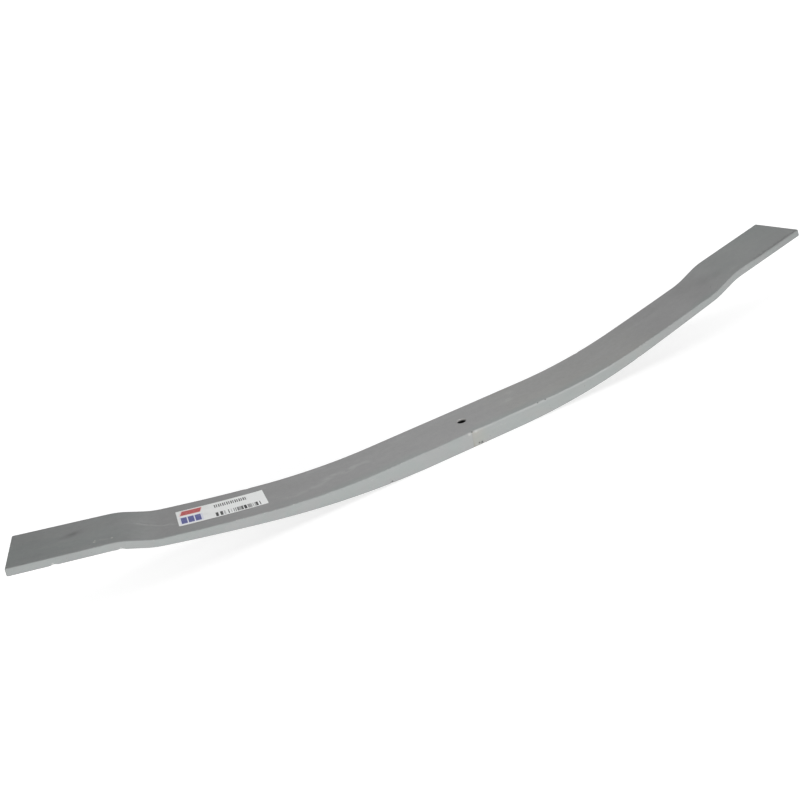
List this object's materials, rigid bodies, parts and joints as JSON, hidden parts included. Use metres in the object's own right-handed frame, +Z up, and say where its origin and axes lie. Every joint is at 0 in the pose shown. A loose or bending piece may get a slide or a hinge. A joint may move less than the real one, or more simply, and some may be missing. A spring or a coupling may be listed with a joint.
{
  "type": "leaf spring",
  "caption": "Single tapered leaf spring bar with a flat bolted seat, two upswept arms, joggled slipper pads and a stuck-on paper label.",
  "frame": {"origin": "on the axis of the centre-bolt hole, in the plane of the seat's underside, where the leaf lies on a flat surface", "axes": "+X along the leaf towards the arm without the label, +Y across its width, +Z up, towards the side that the arms sweep to"},
  "size_m": [1.1485, 0.08, 0.1114],
  "materials": {
    "leaf": "matt grey primer over forged steel",
    "label": "printed white label stock, satin"
  },
  "bodies": {
    "root": {"leaf": "leaf", "label": "label"}
  },
  "joints": []
}
